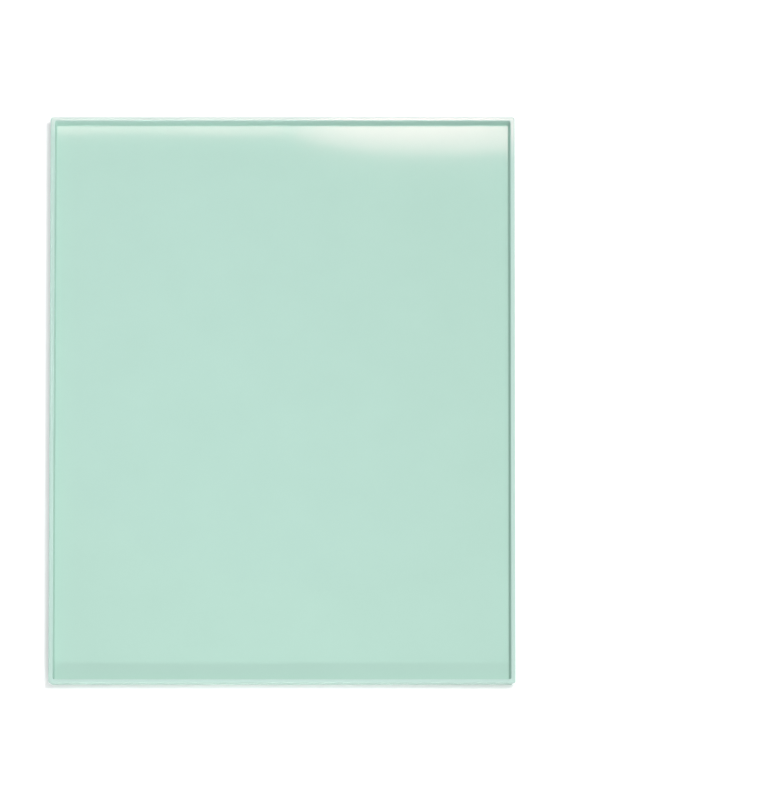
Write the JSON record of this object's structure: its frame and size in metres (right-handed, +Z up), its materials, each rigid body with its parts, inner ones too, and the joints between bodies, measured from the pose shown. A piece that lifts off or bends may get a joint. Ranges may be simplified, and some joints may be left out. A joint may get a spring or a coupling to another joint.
{
  "type": "silicone baking mat",
  "caption": "Rectangular moulded silicone baking mat with a low raised rim all round; lies flat and rolls up along its length from either end.",
  "frame": {"origin": "middle of the underside, on the surface that the mat lies on", "axes": "+X across the mat's width, +Y along its length, +Z up out of the well"},
  "size_m": [0.27, 0.36, 0.0058],
  "materials": {
    "mint_silicone": "smooth satin moulded silicone"
  },
  "bodies": {
    "centre_strip": {"centre_strip": "mint_silicone"},
    "front_strip_1": {"front_strip_1": "mint_silicone"},
    "front_strip_2": {"front_strip_2": "mint_silicone"},
    "front_strip_3": {"front_strip_3": "mint_silicone"},
    "front_strip_4": {"front_strip_4": "mint_silicone"},
    "front_strip_5": {"front_strip_5": "mint_silicone"},
    "front_strip_6": {"front_strip_6": "mint_silicone"},
    "front_strip_7": {"front_strip_7": "mint_silicone"},
    "front_strip_8": {"front_strip_8": "mint_silicone"},
    "front_strip_9": {"front_strip_9": "mint_silicone"},
    "front_strip_10": {"front_strip_10": "mint_silicone"},
    "front_strip_11": {"front_strip_11": "mint_silicone"},
    "front_strip_12": {"front_strip_12": "mint_silicone"},
    "front_strip_13": {"front_strip_13": "mint_silicone"},
    "front_strip_14": {"front_strip_14": "mint_silicone"},
    "front_rim_strip": {"front_rim_strip": "mint_silicone"},
    "back_strip_1": {"back_strip_1": "mint_silicone"},
    "back_strip_2": {"back_strip_2": "mint_silicone"},
    "back_strip_3": {"back_strip_3": "mint_silicone"},
    "back_strip_4": {"back_strip_4": "mint_silicone"},
    "back_strip_5": {"back_strip_5": "mint_silicone"},
    "back_strip_6": {"back_strip_6": "mint_silicone"},
    "back_strip_7": {"back_strip_7": "mint_silicone"},
    "back_strip_8": {"back_strip_8": "mint_silicone"},
    "back_strip_9": {"back_strip_9": "mint_silicone"},
    "back_strip_10": {"back_strip_10": "mint_silicone"},
    "back_strip_11": {"back_strip_11": "mint_silicone"},
    "back_strip_12": {"back_strip_12": "mint_silicone"},
    "back_strip_13": {"back_strip_13": "mint_silicone"},
    "back_strip_14": {"back_strip_14": "mint_silicone"},
    "back_rim_strip": {"back_rim_strip": "mint_silicone"}
  },
  "joints": [
    {"name": "front_roll", "type": "hinge", "parent": "centre_strip", "child": "front_strip_1", "pos_m": [0, -0.00581, 0.0058], "axis": [-1, 0, 0], "range_deg": [0, 11.2], "stiffness_Nm_per_rad": 0.05},
    {"name": "front_bend_2", "type": "hinge", "parent": "front_strip_1", "child": "front_strip_2", "pos_m": [0, -0.01742, 0.0058], "axis": [-1, 0, 0], "range_deg": [0, 11.2], "stiffness_Nm_per_rad": 0.05},
    {"name": "front_bend_3", "type": "hinge", "parent": "front_strip_2", "child": "front_strip_3", "pos_m": [0, -0.02903, 0.0058], "axis": [-1, 0, 0], "range_deg": [0, 11.2], "stiffness_Nm_per_rad": 0.05},
    {"name": "front_bend_4", "type": "hinge", "parent": "front_strip_3", "child": "front_strip_4", "pos_m": [0, -0.04065, 0.0058], "axis": [-1, 0, 0], "range_deg": [0, 11.2], "stiffness_Nm_per_rad": 0.05},
    {"name": "front_bend_5", "type": "hinge", "parent": "front_strip_4", "child": "front_strip_5", "pos_m": [0, -0.05226, 0.0058], "axis": [-1, 0, 0], "range_deg": [0, 11.2], "stiffness_Nm_per_rad": 0.05},
    {"name": "front_bend_6", "type": "hinge", "parent": "front_strip_5", "child": "front_strip_6", "pos_m": [0, -0.06387, 0.0058], "axis": [-1, 0, 0], "range_deg": [0, 11.2], "stiffness_Nm_per_rad": 0.05},
    {"name": "front_bend_7", "type": "hinge", "parent": "front_strip_6", "child": "front_strip_7", "pos_m": [0, -0.07548, 0.0058], "axis": [-1, 0, 0], "range_deg": [0, 11.2], "stiffness_Nm_per_rad": 0.05},
    {"name": "front_bend_8", "type": "hinge", "parent": "front_strip_7", "child": "front_strip_8", "pos_m": [0, -0.0871, 0.0058], "axis": [-1, 0, 0], "range_deg": [0, 11.2], "stiffness_Nm_per_rad": 0.05},
    {"name": "front_bend_9", "type": "hinge", "parent": "front_strip_8", "child": "front_strip_9", "pos_m": [0, -0.09871, 0.0058], "axis": [-1, 0, 0], "range_deg": [0, 11.2], "stiffness_Nm_per_rad": 0.05},
    {"name": "front_bend_10", "type": "hinge", "parent": "front_strip_9", "child": "front_strip_10", "pos_m": [0, -0.11032, 0.0058], "axis": [-1, 0, 0], "range_deg": [0, 11.2], "stiffness_Nm_per_rad": 0.05},
    {"name": "front_bend_11", "type": "hinge", "parent": "front_strip_10", "child": "front_strip_11", "pos_m": [0, -0.12194, 0.0058], "axis": [-1, 0, 0], "range_deg": [0, 11.2], "stiffness_Nm_per_rad": 0.05},
    {"name": "front_bend_12", "type": "hinge", "parent": "front_strip_11", "child": "front_strip_12", "pos_m": [0, -0.13355, 0.0058], "axis": [-1, 0, 0], "range_deg": [0, 11.2], "stiffness_Nm_per_rad": 0.05},
    {"name": "front_bend_13", "type": "hinge", "parent": "front_strip_12", "child": "front_strip_13", "pos_m": [0, -0.14516, 0.0058], "axis": [-1, 0, 0], "range_deg": [0, 11.2], "stiffness_Nm_per_rad": 0.05},
    {"name": "front_bend_14", "type": "hinge", "parent": "front_strip_13", "child": "front_strip_14", "pos_m": [0, -0.15677, 0.0058], "axis": [-1, 0, 0], "range_deg": [0, 11.2], "stiffness_Nm_per_rad": 0.05},
    {"name": "front_bend_15", "type": "hinge", "parent": "front_strip_14", "child": "front_rim_strip", "pos_m": [0, -0.16839, 0.0058], "axis": [-1, 0, 0], "range_deg": [0, 11.2], "stiffness_Nm_per_rad": 0.05},
    {"name": "back_roll", "type": "hinge", "parent": "centre_strip", "child": "back_strip_1", "pos_m": [0, 0.00581, 0.0058], "axis": [1, 0, 0], "range_deg": [0, 11.2], "stiffness_Nm_per_rad": 0.05},
    {"name": "back_bend_2", "type": "hinge", "parent": "back_strip_1", "child": "back_strip_2", "pos_m": [0, 0.01742, 0.0058], "axis": [1, 0, 0], "range_deg": [0, 11.2], "stiffness_Nm_per_rad": 0.05},
    {"name": "back_bend_3", "type": "hinge", "parent": "back_strip_2", "child": "back_strip_3", "pos_m": [0, 0.02903, 0.0058], "axis": [1, 0, 0], "range_deg": [0, 11.2], "stiffness_Nm_per_rad": 0.05},
    {"name": "back_bend_4", "type": "hinge", "parent": "back_strip_3", "child": "back_strip_4", "pos_m": [0, 0.04065, 0.0058], "axis": [1, 0, 0], "range_deg": [0, 11.2], "stiffness_Nm_per_rad": 0.05},
    {"name": "back_bend_5", "type": "hinge", "parent": "back_strip_4", "child": "back_strip_5", "pos_m": [0, 0.05226, 0.0058], "axis": [1, 0, 0], "range_deg": [0, 11.2], "stiffness_Nm_per_rad": 0.05},
    {"name": "back_bend_6", "type": "hinge", "parent": "back_strip_5", "child": "back_strip_6", "pos_m": [0, 0.06387, 0.0058], "axis": [1, 0, 0], "range_deg": [0, 11.2], "stiffness_Nm_per_rad": 0.05},
    {"name": "back_bend_7", "type": "hinge", "parent": "back_strip_6", "child": "back_strip_7", "pos_m": [0, 0.07548, 0.0058], "axis": [1, 0, 0], "range_deg": [0, 11.2], "stiffness_Nm_per_rad": 0.05},
    {"name": "back_bend_8", "type": "hinge", "parent": "back_strip_7", "child": "back_strip_8", "pos_m": [0, 0.0871, 0.0058], "axis": [1, 0, 0], "range_deg": [0, 11.2], "stiffness_Nm_per_rad": 0.05},
    {"name": "back_bend_9", "type": "hinge", "parent": "back_strip_8", "child": "back_strip_9", "pos_m": [0, 0.09871, 0.0058], "axis": [1, 0, 0], "range_deg": [0, 11.2], "stiffness_Nm_per_rad": 0.05},
    {"name": "back_bend_10", "type": "hinge", "parent": "back_strip_9", "child": "back_strip_10", "pos_m": [0, 0.11032, 0.0058], "axis": [1, 0, 0], "range_deg": [0, 11.2], "stiffness_Nm_per_rad": 0.05},
    {"name": "back_bend_11", "type": "hinge", "parent": "back_strip_10", "child": "back_strip_11", "pos_m": [0, 0.12194, 0.0058], "axis": [1, 0, 0], "range_deg": [0, 11.2], "stiffness_Nm_per_rad": 0.05},
    {"name": "back_bend_12", "type": "hinge", "parent": "back_strip_11", "child": "back_strip_12", "pos_m": [0, 0.13355, 0.0058], "axis": [1, 0, 0], "range_deg": [0, 11.2], "stiffness_Nm_per_rad": 0.05},
    {"name": "back_bend_13", "type": "hinge", "parent": "back_strip_12", "child": "back_strip_13", "pos_m": [0, 0.14516, 0.0058], "axis": [1, 0, 0], "range_deg": [0, 11.2], "stiffness_Nm_per_rad": 0.05},
    {"name": "back_bend_14", "type": "hinge", "parent": "back_strip_13", "child": "back_strip_14", "pos_m": [0, 0.15677, 0.0058], "axis": [1, 0, 0], "range_deg": [0, 11.2], "stiffness_Nm_per_rad": 0.05},
    {"name": "back_bend_15", "type": "hinge", "parent": "back_strip_14", "child": "back_rim_strip", "pos_m": [0, 0.16839, 0.0058], "axis": [1, 0, 0], "range_deg": [0, 11.2], "stiffness_Nm_per_rad": 0.05}
  ],
  "couplings": [
    {"joint": "front_bend_2", "follows": "front_roll", "ratio": 1},
    {"joint": "front_bend_3", "follows": "front_roll", "ratio": 1},
    {"joint": "front_bend_4", "follows": "front_roll", "ratio": 1},
    {"joint": "front_bend_5", "follows": "front_roll", "ratio": 1},
    {"joint": "front_bend_6", "follows": "front_roll", "ratio": 1},
    {"joint": "front_bend_7", "follows": "front_roll", "ratio": 1},
    {"joint": "front_bend_8", "follows": "front_roll", "ratio": 1},
    {"joint": "front_bend_9", "follows": "front_roll", "ratio": 1},
    {"joint": "front_bend_10", "follows": "front_roll", "ratio": 1},
    {"joint": "front_bend_11", "follows": "front_roll", "ratio": 1},
    {"joint": "front_bend_12", "follows": "front_roll", "ratio": 1},
    {"joint": "front_bend_13", "follows": "front_roll", "ratio": 1},
    {"joint": "front_bend_14", "follows": "front_roll", "ratio": 1},
    {"joint": "front_bend_15", "follows": "front_roll", "ratio": 1},
    {"joint": "back_bend_2", "follows": "back_roll", "ratio": 1},
    {"joint": "back_bend_3", "follows": "back_roll", "ratio": 1},
    {"joint": "back_bend_4", "follows": "back_roll", "ratio": 1},
    {"joint": "back_bend_5", "follows": "back_roll", "ratio": 1},
    {"joint": "back_bend_6", "follows": "back_roll", "ratio": 1},
    {"joint": "back_bend_7", "follows": "back_roll", "ratio": 1},
    {"joint": "back_bend_8", "follows": "back_roll", "ratio": 1},
    {"joint": "back_bend_9", "follows": "back_roll", "ratio": 1},
    {"joint": "back_bend_10", "follows": "back_roll", "ratio": 1},
    {"joint": "back_bend_11", "follows": "back_roll", "ratio": 1},
    {"joint": "back_bend_12", "follows": "back_roll", "ratio": 1},
    {"joint": "back_bend_13", "follows": "back_roll", "ratio": 1},
    {"joint": "back_bend_14", "follows": "back_roll", "ratio": 1},
    {"joint": "back_bend_15", "follows": "back_roll", "ratio": 1}
  ]
}
